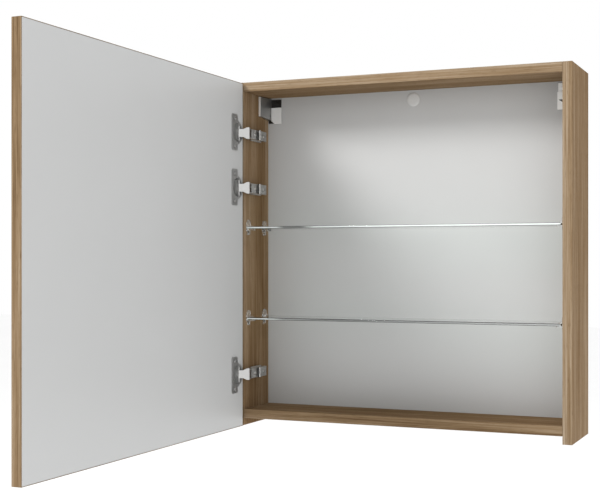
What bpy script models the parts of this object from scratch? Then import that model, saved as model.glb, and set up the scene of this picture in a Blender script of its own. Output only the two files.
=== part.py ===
"""Wall-hung mirror cabinet with one door, modelled with the door standing open at a right angle.

World frame, in metres: the wall is the plane Y = 0, the cabinet faces -Y, +Z is up and X runs
across the width. The origin is on the wall, centred, at the height of the two hanging hooks.

Hinges are drawn in a plane of their own, seen from above: u runs from the inner face of the left
side panel into the cabinet, and d runs from the carcass front towards the wall.
"""
import math

import bmesh
import bpy
from mathutils import Matrix, Vector

# Carcass
WIDTH = 0.600
HEIGHT = 0.606
DEPTH = 0.130
BOARD = 0.016
TOP_Z = 0.040
BOTTOM_RAISE = 0.013
BACK_SET = 0.097
BACK_THICK = 0.003
GROOVE_DEEP = 0.006
GAP = 0.0003
BOARD_BEVEL = 0.0006
DOWEL_RADIUS = 0.004
DOWEL_OUT = 0.012
DOWEL_IN = 0.006
DOWEL_DEPTHS = (0.030, 0.080)
OVERCUT = 0.002

# Door and mirror
DOOR_WIDTH = 0.598
DOOR_THICK = 0.016
DOOR_TOP_GAP = 0.002
MIRROR_THICK = 0.003
MIRROR_REVEAL = 0.005
MIRROR_BEVEL = 0.0008

# Glass shelves: their tops are heights above the bottom board
GLASS_THICK = 0.004
GLASS_FRONT = 0.004
GLASS_BACK = 0.092
GLASS_SIDE_GAP = 0.0032
GLASS_BEVEL = 0.0005
SHELF_TOPS = {"lower": 0.1617, "upper": 0.3225}

# Shelf supports, from the underside of the glass
SUPPORT_DEPTHS = {"front": 0.016, "rear": 0.0775}
SUPPORT_PIN_RADIUS = 0.0023
SUPPORT_PIN_DROP = 0.0060
SUPPORT_PIN_LENGTH = 0.0100
SUPPORT_HOLE_DEPTH = 0.0095
SUPPORT_HALF = 0.0070
SUPPORT_TAIL_HALF = 0.0040
SUPPORT_RISE = 0.0170
SUPPORT_FALL = 0.0100
SUPPORT_BACK_HALF = 0.0011
LEDGE_REACH = 0.0125
LEDGE_HALF = 0.0060
LEDGE_THICK = 0.0022
LIP_REACH = 0.0085
LIP_HALF = 0.0045
LIP_THICK = 0.0015

# Hinges: heights above the lower edge of the side panels, and pivots as (u, d)
HINGE_HEIGHTS = {"bottom": 0.092, "middle": 0.419, "top": 0.515}
ARM_PIVOT = (0.0134, -0.0068)
REAR_PIVOT = (0.0081, -0.0026)
DOOR_EDGE = (0.0009, -0.0041)
CUP_PIVOT_ALONG = 0.0120
CUP_PIVOT_INTO = 0.0014

# Mounting plate: its section is a foot on the side panel with a rail along the middle
PLATE_FRONT = 0.0235
PLATE_REAR = 0.0620
PLATE_FOOT_HALF = 0.0095
PLATE_FOOT_THICK = 0.0022
PLATE_RAIL_HALF = 0.0066
PLATE_RAIL_BASE = 0.0040
PLATE_RAIL_TOP = 0.0118

# Arm: a channel of bent sheet, open towards the mounting plate
ARM_HALF = 0.0085
ARM_SHEET = 0.0012
ARM_TOP = 0.0142
ARM_REAR = 0.0635
ARM_SKIRT = 0.0092
ARM_NOSE_RADIUS = 0.0029
ARM_EYE_RADIUS = 0.0024
ARM_NECK = (0.00966, -0.00562)
ARM_MOUTH = ((0.0100, 0.0250), (-0.0200, 0.0030))
ARM_SLOT = (0.0295, 0.0311)
ARM_SLOT_HALF = 0.0056
FRONT_PIN = (0.0015, 0.0104)
REAR_PIN = (0.0013, 0.0079)
FIXING_SCREW_D = 0.0500
SIDE_SCREW_D = 0.0170
SCREW_SHANK = 0.0019
FIXING_SCREW_TIP = -0.0080
SIDE_SCREW_TIP = -0.0050

# Front link: a channel whose web faces away from the carcass, narrower at the cup. Its waist is
# the level of its lower edge, below the line through its pivots.
LINK_EYE_A = 0.0026
LINK_EYE_B = 0.0023
LINK_WAIST = 0.0
LINK_WEB = (0.0034, 0.0044)
LINK_SHOULDER = 0.0030
LINK_HALF = 0.0100
LINK_INNER_HALF = 0.0089
LINK_NARROW = 0.69
LINK_FLARE = (0.0034, 0.0095)
LINK_HOLE_A = 0.0019
LINK_HOLE_B = 0.0017

# Rear link: a bowed bar, and its end in the cup as (u, d)
REAR_LINK_END = (-0.0016, -0.0136)
REAR_LINK_HALF = 0.0040
REAR_LINK_THICK = 0.0008
REAR_LINK_BOW = 0.0025
REAR_LINK_EYE = 0.0024
REAR_LINK_HOLE = 0.00165

# Cup, its flange and its screws
CUP_FROM_EDGE = 0.0225
CUP_RADIUS = 0.0175
CUP_WALL = 0.0012
CUP_FLOOR = 0.0009
CUP_DEPTH = 0.0123
CUP_STUB_RADIUS = 0.0013
CUP_STUB_INNER = 0.0050
FLANGE_THICK = 0.0012
FLANGE_RING = 0.0020
WING_FROM_EDGE = 0.0315
WING_HALF_WIDTH = 0.0100
WING_HALF_LENGTH = 0.0315
WING_NECK = 0.0215
WING_CORNER = 0.0020
NOTCH_HALF = 0.0077
NOTCH_DROP = 0.0026
CUP_SCREW_SPREAD = 0.0240
CUP_SCREW_HOLE = 0.0022
PILOT_RADIUS = 0.0020

# Wall hangers. Distances run away from the side panel, then in depth from the carcass front,
# then down from the top board. A flange end has one of each, a block has a start and an end.
HANGER_FLANGE_TOP = 0.0015
HANGER_FLANGE_FRONT = (0.0042, 0.0570, 0.0366)
HANGER_FLANGE_REAR = (0.0076, 0.0960, 0.0410)
HANGER_WEB = ((0.0020, 0.0275), (0.0947, BACK_SET - GAP), (0.0030, 0.0465))
HOOK = ((0.0085, 0.0135), (BACK_SET, 0.1240), (0.0120, 0.0350))
HOOK_NICK = ((0.0, 0.0200), (0.1080, 0.1190), (0.0240, 0.0600))
HOOK_HEEL = ((0.0, 0.0200), (0.1150, 0.1300), (0.0300, 0.0600))
HOOK_SLOT_ACROSS = (-0.0020, 0.0210)
HOOK_SLOT_DOWN = (0.0080, 0.0360)
COVER_ACROSS = (0.0080, 0.0285)
COVER_DEPTH = (0.0925, 0.0944)
COVER_DOWN = (0.0178, 0.0475)
COVER_CORNER = (0.0070, 0.0055)
HANGER_SCREW_ACROSS = 0.0190
HANGER_SCREW_D = 0.0940
HANGER_SCREW_DOWN = 0.0105

# Cable-hole plug
PLUG_RADIUS = 0.012
PLUG_DROP = 0.0165
PLUG_HOLE_RADIUS = 0.0105
PLUG_SKIRT_RADIUS = 0.0098
PLUG_SKIRT_DEPTH = 0.0060
PLUG_WALL = 0.0012

LEFT_INNER = -WIDTH / 2 + BOARD
RIGHT_INNER = WIDTH / 2 - BOARD
FRONT_Y = -DEPTH
BACK_Y = FRONT_Y + BACK_SET
BASE_Z = TOP_Z - HEIGHT
CEILING_Z = TOP_Z - BOARD
FLOOR_Z = BASE_Z + BOTTOM_RAISE + BOARD
SIDES = {"left": -1, "right": 1}
ENDS = {"upper": 1, "lower": -1}
FACING_IN = (0, math.pi / 2, 0)


def clear_scene():
    for old in list(bpy.data.objects):
        bpy.data.objects.remove(old, do_unlink=True)


def new_collection(name):
    collection = bpy.data.collections.new(name)
    bpy.context.scene.collection.children.link(collection)
    return collection


clear_scene()
PARTS = new_collection("mirror_cabinet")
CUTTERS = new_collection("cutters")


def new_material(name, colour, roughness, metallic=0.0, alpha=1.0):
    material = bpy.data.materials.new(name)
    material.use_nodes = True
    shader = material.node_tree.nodes["Principled BSDF"]
    shader.inputs["Base Color"].default_value = (*colour, 1.0)
    shader.inputs["Roughness"].default_value = roughness
    shader.inputs["Metallic"].default_value = metallic
    shader.inputs["Alpha"].default_value = alpha
    return material


OAK = new_material("oak_decor", (0.38, 0.26, 0.16), 0.5)
DOOR_PALE = new_material("door_laminate", (0.56, 0.57, 0.57), 0.4)
BACK_PALE = new_material("back_laminate", (0.6, 0.6, 0.59), 0.25)
MIRROR = new_material("mirror_glass", (0.9, 0.92, 0.92), 0.03, metallic=1.0)
GLASS = new_material("clear_glass", (0.85, 0.93, 0.9), 0.03, alpha=0.35)
CLEAR_PLASTIC = new_material("clear_plastic", (0.85, 0.86, 0.86), 0.2, alpha=0.5)
NICKEL = new_material("nickel_plate", (0.66, 0.66, 0.65), 0.25, metallic=1.0)
SCREW_ZINC = new_material("zinc_screw", (0.6, 0.6, 0.6), 0.3, metallic=1.0)
COVER_PLASTIC = new_material("light_plastic", (0.6, 0.6, 0.58), 0.4)
ZINC = new_material("zinc_steel", (0.5, 0.5, 0.5), 0.4, metallic=1.0)


def link_object(name, mesh, material, location=(0, 0, 0), smooth=False):
    """Put a mesh in the part's collection, or with no material in the cutters' collection."""
    obj = bpy.data.objects.new(name, mesh)
    obj.location = location
    if material is None:
        CUTTERS.objects.link(obj)
        obj.hide_render = True
        obj.display_type = "WIRE"
        return obj
    PARTS.objects.link(obj)
    mesh.materials.append(material)
    if smooth:
        mesh.shade_smooth()
        mesh.set_sharp_from_angle(angle=math.radians(35))
    return obj


def box(name, low, high, material=None, bevel=0.0):
    """A box between two corners, with its origin at its centre."""
    low, high = Vector(low), Vector(high)
    shape = bmesh.new()
    bmesh.ops.create_cube(shape, size=1.0, matrix=Matrix.Diagonal((*(high - low), 1.0)))
    mesh = bpy.data.meshes.new(name)
    shape.to_mesh(mesh)
    shape.free()
    obj = link_object(name, mesh, material, (low + high) / 2)
    if bevel:
        modifier = obj.modifiers.new("edges", "BEVEL")
        modifier.width = bevel
        modifier.segments = 1
    return obj


def rod(name, centre, axis, radius, length, material=None, sides=16, origin=(0, 0, 0)):
    """A cylinder about an axis through its centre; both are given from the origin."""
    shape = bmesh.new()
    turn = Vector((0, 0, 1)).rotation_difference(Vector(axis)).to_matrix().to_4x4()
    bmesh.ops.create_cone(
        shape, cap_ends=True, segments=sides, radius1=radius, radius2=radius, depth=length,
        matrix=Matrix.Translation(centre) @ turn)
    mesh = bpy.data.meshes.new(name)
    shape.to_mesh(mesh)
    shape.free()
    return link_object(name, mesh, material, origin, smooth=True)


def arc(centre, radius, start, end, steps):
    """Points on an arc, with the angles in degrees."""
    angles = [math.radians(start + (end - start) * step / steps) for step in range(steps + 1)]
    return [(centre[0] + radius * math.cos(a), centre[1] + radius * math.sin(a)) for a in angles]


def plate(name, outline, half, material=None, location=(0, 0, 0), turn=None, holes=()):
    """A flat outline in local XY, extruded both ways along local Z, as a welded mesh."""
    curve = bpy.data.curves.new(name, "CURVE")
    curve.dimensions = "2D"
    curve.fill_mode = "BOTH"
    curve.extrude = half
    for points in (outline, *holes):
        spline = curve.splines.new("POLY")
        spline.points.add(len(points) - 1)
        for point, place in zip(spline.points, points):
            point.co = (*place, 0.0, 1.0)
        spline.use_cyclic_u = True
    source = bpy.data.objects.new(name + "_outline", curve)
    PARTS.objects.link(source)
    graph = bpy.context.evaluated_depsgraph_get()
    mesh = bpy.data.meshes.new_from_object(source.evaluated_get(graph))
    bpy.data.objects.remove(source, do_unlink=True)
    shape = bmesh.new()
    shape.from_mesh(mesh)
    bmesh.ops.remove_doubles(shape, verts=shape.verts, dist=1e-6)
    bmesh.ops.dissolve_limit(shape, angle_limit=1e-4, verts=shape.verts, edges=shape.edges)
    bmesh.ops.recalc_face_normals(shape, faces=shape.faces)
    shape.to_mesh(mesh)
    shape.free()
    mesh.name = name
    obj = link_object(name, mesh, material, location)
    if turn is not None:
        obj.rotation_euler = turn
    return obj


def turned(name, profile, material, location, turn, sides=16):
    """A profile of (radius, height) from the axis down its outer side, turned about local Z."""
    mesh = bpy.data.meshes.new(name)
    shape = bmesh.new()
    verts = [shape.verts.new((radius, 0.0, height)) for radius, height in profile]
    for first, second in zip(verts, verts[1:]):
        shape.edges.new((first, second))
    shape.to_mesh(mesh)
    shape.free()
    obj = link_object(name, mesh, material, location)
    obj.rotation_euler = turn
    screw = obj.modifiers.new("turn", "SCREW")
    screw.steps = screw.render_steps = sides
    screw.use_merge_vertices = True
    screw.merge_threshold = 1e-5
    return obj


def combine(obj, tool, operation="DIFFERENCE"):
    """Cut a tool out of an object, or join it on, and keep the tool with the cutters."""
    if tool.name in PARTS.objects:
        PARTS.objects.unlink(tool)
        CUTTERS.objects.link(tool)
    tool.hide_render = True
    tool.display_type = "WIRE"
    modifier = obj.modifiers.new(tool.name, "BOOLEAN")
    modifier.operation = operation
    modifier.solver = "EXACT"
    modifier.object = tool


def keep_place(child, parent):
    child.parent = parent
    child.matrix_parent_inverse = parent.matrix_world.inverted()


# ---------------------------------------------------------------- carcass

def side_wall(sign):
    """The inner face of a side panel, on the right for a sign of 1."""
    return sign * (WIDTH / 2 - BOARD)


def back_groove(board, low_x, high_x, low_z, high_z):
    """The groove that takes the back panel, a clearance wider than the panel."""
    near = BACK_Y - GAP
    far = BACK_Y + BACK_THICK + GAP
    name = board.name + "_groove"
    combine(board, box(name, (low_x, near, low_z), (high_x, far, high_z)))


def shelf_levels():
    """The height of the underside of each glass shelf."""
    return {level: FLOOR_Z + top - GLASS_THICK for level, top in SHELF_TOPS.items()}


def dowel_places():
    """Dowel axes as (Y, Z): two in each end of the top and bottom boards."""
    heights = (CEILING_Z + BOARD / 2, FLOOR_Z - BOARD / 2)
    return [(FRONT_Y + depth, height) for height in heights for depth in DOWEL_DEPTHS]


def side_panel(side, sign):
    inner = side_wall(sign)
    outer = sign * WIDTH / 2
    name = "side_panel_" + side
    panel = box(name, (min(inner, outer), FRONT_Y, BASE_Z), (max(inner, outer), 0.0, TOP_Z), OAK,
                bevel=BOARD_BEVEL)
    groove_x = sorted((inner - sign * OVERCUT, inner + sign * (GROOVE_DEEP + GAP)))
    back_groove(panel, *groove_x, FLOOR_Z - GROOVE_DEEP, CEILING_Z + GROOVE_DEEP)
    for number, (y, z) in enumerate(dowel_places()):
        deep = DOWEL_OUT + GAP
        hole = rod(f"{name}_dowel_hole_{number}", (inner + sign * (deep - OVERCUT) / 2, y, z),
                   (1, 0, 0), DOWEL_RADIUS + GAP, deep + OVERCUT, sides=12)
        combine(panel, hole)
    for level, under in shelf_levels().items():
        for place, depth in SUPPORT_DEPTHS.items():
            middle = inner + sign * (SUPPORT_HOLE_DEPTH - OVERCUT) / 2
            hole = rod(f"{name}_{level}_{place}_hole",
                       (middle, FRONT_Y + depth, under - SUPPORT_PIN_DROP), (1, 0, 0),
                       SUPPORT_PIN_RADIUS + GAP, SUPPORT_HOLE_DEPTH + OVERCUT, sides=12)
            combine(panel, hole)


def cross_board(name, low_z, groove_z):
    """The top or bottom board, with its glued dowels standing out of both ends."""
    high_z = low_z + BOARD
    board = box(name, (LEFT_INNER + GAP, FRONT_Y, low_z), (RIGHT_INNER - GAP, 0.0, high_z), OAK,
                bevel=BOARD_BEVEL)
    back_groove(board, LEFT_INNER - OVERCUT, RIGHT_INNER + OVERCUT,
                groove_z - GROOVE_DEEP, groove_z + GROOVE_DEEP)
    places = [place for place in dowel_places() if low_z < place[1] < high_z]
    length = DOWEL_OUT + DOWEL_IN
    for number, (y, z) in enumerate(places):
        for side, sign in SIDES.items():
            middle = side_wall(sign) + sign * (DOWEL_OUT - length / 2)
            pin = rod(f"{name}_dowel_{side}_{number}", (middle, y, z), (1, 0, 0),
                      DOWEL_RADIUS, length, sides=12)
            combine(board, pin, "UNION")


def back_panel():
    tuck = GROOVE_DEEP - 0.001
    panel = box("back_panel", (LEFT_INNER - tuck, BACK_Y, FLOOR_Z - tuck),
                (RIGHT_INNER + tuck, BACK_Y + BACK_THICK, CEILING_Z + tuck), BACK_PALE)
    hole = rod("back_panel_cable_hole", (0, BACK_Y, CEILING_Z - PLUG_DROP), (0, 1, 0),
               PLUG_HOLE_RADIUS, 0.020, sides=24)
    combine(panel, hole)
    through = (BACK_SET - OVERCUT, BACK_SET + BACK_THICK + OVERCUT)
    for side, sign in SIDES.items():
        span = (HOOK_SLOT_ACROSS, through, HOOK_SLOT_DOWN)
        combine(panel, hanger_block("back_panel_slot_" + side, sign, span))


def cable_hole_plug():
    """A domed cap on a hollow skirt, turned about the plug's axis."""
    skirt = PLUG_SKIRT_RADIUS
    inside = skirt - PLUG_WALL
    profile = [(0, 0.0016), (PLUG_RADIUS - 0.0012, 0.0014), (PLUG_RADIUS, 0.0006),
               (PLUG_RADIUS, GAP), (skirt, GAP), (skirt, -PLUG_SKIRT_DEPTH),
               (inside, -PLUG_SKIRT_DEPTH), (inside, -0.001), (0, -0.001)]
    turned("cable_hole_plug", profile, BACK_PALE, (0, BACK_Y, CEILING_Z - PLUG_DROP),
           (math.pi / 2, 0, 0), sides=24)


# ---------------------------------------------------------------- shelves

def support_outline():
    """The clip's back plate seen along X: arched above the glass, tapered below it."""
    arch = arc((0, SUPPORT_RISE - SUPPORT_HALF), SUPPORT_HALF, 0, 180, 8)
    tail = [(-SUPPORT_TAIL_HALF, -SUPPORT_FALL), (SUPPORT_TAIL_HALF, -SUPPORT_FALL)]
    return tail + [(SUPPORT_HALF, 0.0)] + arch + [(-SUPPORT_HALF, 0.0)]


def shelf_support(level, side, sign, place):
    """A clear clip: pin in the side panel, arched back plate, ledge under the glass, lip over it."""
    under = shelf_levels()[level] - GAP
    wall = side_wall(sign)
    name = f"shelf_support_{level}_{side}_{place}"
    depth = FRONT_Y + SUPPORT_DEPTHS[place]
    plate_x = wall - sign * (SUPPORT_BACK_HALF + GAP)
    body = plate(name, support_outline(), SUPPORT_BACK_HALF, CLEAR_PLASTIC,
                 (plate_x, depth, under), (math.pi / 2, 0, math.pi / 2))

    def tongue(suffix, reach, half, low, thick):
        low_x, high_x = sorted((plate_x, wall - sign * reach))
        return box(name + suffix, (low_x, depth - half, low), (high_x, depth + half, low + thick))

    combine(body, tongue("_ledge", LEDGE_REACH, LEDGE_HALF, under - LEDGE_THICK, LEDGE_THICK),
            "UNION")
    over = under + GLASS_THICK + 2 * GAP
    combine(body, tongue("_lip", LIP_REACH, LIP_HALF, over, LIP_THICK), "UNION")
    pin_x = wall + sign * (SUPPORT_PIN_LENGTH / 2 - SUPPORT_BACK_HALF - GAP)
    pin = rod(name + "_pin", (0, 0, 0), (1, 0, 0), SUPPORT_PIN_RADIUS, SUPPORT_PIN_LENGTH,
              sides=10, origin=(pin_x, depth, under + GAP - SUPPORT_PIN_DROP))
    combine(body, pin, "UNION")


def glass_shelf(level):
    under = shelf_levels()[level]
    reach = WIDTH / 2 - BOARD - GLASS_SIDE_GAP
    box(level + "_glass_shelf", (-reach, FRONT_Y + GLASS_FRONT, under),
        (reach, FRONT_Y + GLASS_BACK, under + GLASS_THICK), GLASS, bevel=GLASS_BEVEL)


# ---------------------------------------------------------------- wall hangers

def hanger_block(name, sign, span, material=None):
    """A box from its spans across from the side panel, in depth, and down from the top board."""
    across, depth, down = span
    wall = side_wall(sign)
    low_x, high_x = sorted((wall - sign * across[0], wall - sign * across[1]))
    return box(name, (low_x, FRONT_Y + depth[0], CEILING_Z - down[1]),
               (high_x, FRONT_Y + depth[1], CEILING_Z - down[0]), material)


def hanger_flange(name, sign):
    """The flange on the side panel: it gets thicker and deeper from its front to its rear."""
    wall = side_wall(sign)
    shape = bmesh.new()
    for across, depth, down in (HANGER_FLANGE_FRONT, HANGER_FLANGE_REAR):
        for reach in (GAP, across):
            for drop in (HANGER_FLANGE_TOP, down):
                shape.verts.new((wall - sign * reach, FRONT_Y + depth, CEILING_Z - drop))
    bmesh.ops.convex_hull(shape, input=shape.verts)
    bmesh.ops.dissolve_limit(shape, angle_limit=math.radians(1), verts=shape.verts,
                             edges=shape.edges)
    mesh = bpy.data.meshes.new(name)
    shape.to_mesh(mesh)
    shape.free()
    return link_object(name, mesh, ZINC, (0, 0, 0))


def hanger_body(side, sign):
    """The steel body: a flange on the side panel and a web on the back panel."""
    name = "hanger_body_" + side
    body = hanger_flange(name, sign)
    combine(body, hanger_block(name + "_web", sign, HANGER_WEB), "UNION")


def hanger_hook(side, sign):
    """The hook bar behind the web, through the back panel; its nick hangs on a rail at Z = 0."""
    name = "hanger_hook_" + side
    hook = hanger_block(name, sign, HOOK, ZINC)
    combine(hook, hanger_block(name + "_nick", sign, HOOK_NICK))
    combine(hook, hanger_block(name + "_heel", sign, HOOK_HEEL))


def hanger_cover(side, sign):
    """The light plastic plate on the lower web, with its lower corner by the flange cut off."""
    wall = side_wall(sign)
    near, far = COVER_ACROSS
    top, bottom = COVER_DOWN
    corner = [(near, top), (far, top), (far, bottom), (near + COVER_CORNER[0], bottom),
              (near, bottom - COVER_CORNER[1])]
    outline = [(wall - sign * across, CEILING_Z - down) for across, down in corner]
    front, rear = COVER_DEPTH
    plate("hanger_cover_" + side, outline, (rear - front) / 2, COVER_PLASTIC,
          (0, FRONT_Y + (front + rear) / 2, 0), (math.pi / 2, 0, 0))


def hanger_screw(side, sign):
    """The adjusting screw's head on the web, above the cover."""
    profile = [(0, 0.0018), (0.0030, 0.0014), (0.0034, 0.0), (0.0034, -0.0004), (0, -0.0004)]
    place = (side_wall(sign) - sign * HANGER_SCREW_ACROSS, FRONT_Y + HANGER_SCREW_D,
             CEILING_Z - HANGER_SCREW_DOWN)
    turned("hanger_screw_" + side, profile, SCREW_ZINC, place, (math.pi / 2, 0, 0), sides=12)


# ---------------------------------------------------------------- hinges

def hinge_datum(height):
    return Vector((LEFT_INNER, FRONT_Y, BASE_Z + height))


def pivot_rod(name, datum, pivot, radius, half, z=0.0):
    """A rod along Z about a pivot given as (u, d), used for pins, stubs and their holes."""
    return rod(name, (0, 0, z), (0, 0, 1), radius, 2 * half, sides=12,
               origin=datum + Vector((*pivot, 0)))


def screw_hole(name, place, radius, length=0.012):
    """A hole along X, centred where a screw goes through."""
    return rod(name, (0, 0, 0), (1, 0, 0), radius, length, sides=10, origin=place)


def mounting_plate(level, height):
    """The plate's section, extruded in depth, with a hole for the arm's fixing screw."""
    datum = hinge_datum(height)
    foot, rail = PLATE_FOOT_HALF, PLATE_RAIL_HALF
    section = [(-foot, 0.0), (foot, 0.0), (foot, PLATE_FOOT_THICK), (rail, PLATE_RAIL_BASE),
               (rail, PLATE_RAIL_TOP), (-rail, PLATE_RAIL_TOP), (-rail, PLATE_RAIL_BASE),
               (-foot, PLATE_FOOT_THICK)]
    name = "hinge_plate_" + level
    half = (PLATE_REAR - PLATE_FRONT) / 2
    body = plate(name, section, half, NICKEL, datum + Vector((GAP, PLATE_FRONT + half, 0)),
                 (math.pi / 2, math.pi / 2, 0))
    place = datum + Vector((PLATE_RAIL_TOP, FIXING_SCREW_D, 0))
    combine(body, screw_hole(name + "_hole", place, SCREW_SHANK + 2 * GAP))


def arm_outline():
    """Side view of the arm: eye at the rear pivot, neck, nose round the front pivot, top edge."""
    eye = arc(REAR_PIVOT, ARM_EYE_RADIUS, 140, 255, 6)
    nose = arc(ARM_PIVOT, ARM_NOSE_RADIUS, 215, 395, 10)
    top = [(ARM_TOP, 0.0008), (ARM_TOP, ARM_REAR - 0.0030), (ARM_TOP - 0.0016, ARM_REAR)]
    skirt = [(ARM_SKIRT, ARM_REAR), (ARM_SKIRT, 0.0220), (0.0064, 0.0120)]
    return eye + [ARM_NECK] + nose + top + skirt


def hinge_arm(level, height):
    """A sheet channel over the mounting plate, with both pivot pins of the links."""
    datum = hinge_datum(height)
    name = "hinge_arm_" + level
    arm = plate(name, arm_outline(), ARM_HALF, NICKEL, datum)
    inside = ARM_HALF - ARM_SHEET
    web = ARM_TOP - ARM_SHEET

    def hollow(suffix, span_u, span_d, half):
        low = datum + Vector((span_u[0], span_d[0], -half))
        high = datum + Vector((span_u[1], span_d[1], half))
        combine(arm, box(name + suffix, low, high))

    hollow("_channel", (-0.0050, web), (ARM_MOUTH[1][0], ARM_REAR + 0.0065), inside)
    hollow("_mouth", *ARM_MOUTH, inside)
    hollow("_slot", (web - OVERCUT, ARM_TOP + OVERCUT), ARM_SLOT, ARM_SLOT_HALF)
    for suffix, depth in (("_fixing_hole", FIXING_SCREW_D), ("_side_hole", SIDE_SCREW_D)):
        place = datum + Vector((ARM_TOP, depth, 0))
        combine(arm, screw_hole(name + suffix, place, SCREW_SHANK + GAP, 0.006))
    for suffix, pivot, pin in (("_front_pin", ARM_PIVOT, FRONT_PIN),
                               ("_rear_pin", REAR_PIVOT, REAR_PIN)):
        combine(arm, pivot_rod(name + suffix, datum, pivot, *pin), "UNION")


def arm_screws(level, height):
    """The fixing screw into the plate, and the shorter side-adjusting screw."""
    datum = hinge_datum(height)
    head = [(0, 0.0016), (0.0030, 0.0014), (0.0036, 0.0006), (0.0036, GAP)]
    for kind, depth, tip in (("fixing", FIXING_SCREW_D, FIXING_SCREW_TIP),
                             ("side", SIDE_SCREW_D, SIDE_SCREW_TIP)):
        profile = head + [(SCREW_SHANK, GAP), (SCREW_SHANK, tip), (0, tip)]
        turned(f"hinge_{kind}_screw_{level}", profile, SCREW_ZINC,
               datum + Vector((ARM_TOP, depth, 0)), FACING_IN, sides=10)


def cup_pivot():
    """The pivot on the cup, as (u, d), with the door at rest."""
    return (DOOR_EDGE[0] - CUP_PIVOT_INTO, DOOR_EDGE[1] - CUP_PIVOT_ALONG)


def narrow_link(mesh):
    """Draw the link in from its full width at the arm to its narrow end at the cup."""
    shape = bmesh.new()
    shape.from_mesh(mesh)
    for place in LINK_FLARE:
        everything = shape.verts[:] + shape.edges[:] + shape.faces[:]
        bmesh.ops.bisect_plane(shape, geom=everything, dist=1e-6,
                               plane_co=(place, 0, 0), plane_no=(1, 0, 0))
    start, end = LINK_FLARE
    for vert in shape.verts:
        share = min(max((vert.co.x - start) / (end - start), 0.0), 1.0)
        vert.co.z *= 1.0 + (LINK_NARROW - 1.0) * share
    shape.to_mesh(mesh)
    shape.free()


def link_outline(length):
    """Side view of the front link: an eye at each end, a low waist and a web on its far side."""
    web = LINK_WEB[1]
    eye = arc((0, 0), LINK_EYE_A, 180, 280, 4)
    waist = [(place, -LINK_WAIST) for place in (*LINK_FLARE, length - 0.0030)]
    cup_eye = arc((length, 0), LINK_EYE_B, 235, 360, 5)
    far_end = [(length + LINK_EYE_B, LINK_SHOULDER), (length + 0.0010, web)]
    near_end = [(-0.0010, web), (-LINK_EYE_A, LINK_SHOULDER)]
    return eye + waist + cup_eye + far_end + near_end


def front_link(level, height):
    """The bright link: a channel whose web faces out, flared towards the arm."""
    name = "hinge_link_" + level
    datum = hinge_datum(height)
    start, end = Vector(ARM_PIVOT), Vector(cup_pivot())
    length = (end - start).length
    heading = math.atan2(end.y - start.y, end.x - start.x)
    low, far = LINK_WEB[0], 0.030
    solid = plate(name + "_blank", link_outline(length), LINK_HALF)
    hollow = plate(name + "_hollow", [(-far, -far), (far, -far), (far, low), (-far, low)],
                   LINK_INNER_HALF)
    combine(solid, hollow)
    bpy.context.view_layer.update()
    graph = bpy.context.evaluated_depsgraph_get()
    mesh = bpy.data.meshes.new_from_object(solid.evaluated_get(graph))
    mesh.name = name
    for tool in (solid, hollow):
        bpy.data.objects.remove(tool, do_unlink=True)
    narrow_link(mesh)
    mesh.materials.clear()
    link = link_object(name, mesh, NICKEL, datum + Vector((*start, 0)))
    link.rotation_euler = (0, 0, heading)
    for suffix, place, radius in (("_arm_hole", start, LINK_HOLE_A),
                                  ("_cup_hole", end, LINK_HOLE_B)):
        combine(link, pivot_rod(name + suffix, datum, place, radius, 0.015))


def rear_link(level, height):
    """The hidden second link: a bowed bar from the arm's rear pivot into the cup."""
    name = "hinge_rear_link_" + level
    datum = hinge_datum(height)
    start, end = Vector(REAR_PIVOT), Vector(REAR_LINK_END)
    heading = math.atan2(end.y - start.y, end.x - start.x)
    length = (end - start).length
    half, bow = REAR_LINK_THICK, REAR_LINK_BOW
    tip = length - 0.0012
    eye = arc((0, 0), REAR_LINK_EYE, 20, 340, 12)
    near = [(0.35 * length, bow - half), (0.62 * length, bow - half), (tip, -half)]
    far = [(tip + half, 0.0), (tip, half), (0.64 * length, bow + half),
           (0.33 * length, bow + half)]
    plate(name, eye + near + far, REAR_LINK_HALF, NICKEL, datum + Vector((*start, 0)),
          (0, 0, heading), holes=[arc((0, 0), REAR_LINK_HOLE, 0, 330, 11)])


def cup_centre(height):
    datum = hinge_datum(height)
    return datum + Vector((DOOR_EDGE[0], DOOR_EDGE[1] - CUP_FROM_EDGE, 0))


def wing_outline():
    """Flange seen from the cabinet: round over the cup, with a wing above and below."""
    middle = WING_FROM_EDGE - CUP_FROM_EDGE
    low, high = middle - WING_HALF_WIDTH, middle + WING_HALF_WIDTH
    tip, corner = WING_HALF_LENGTH, WING_CORNER
    ring = arc((0, 0), CUP_RADIUS + FLANGE_RING, 110, 250, 12)
    low_wing = [(low, -WING_NECK), (low, corner - tip), (low + corner, -tip),
                (high - corner, -tip), (high, corner - tip)]
    high_wing = [(x, -y) for x, y in reversed(low_wing)]
    return ring + low_wing + high_wing


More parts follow.
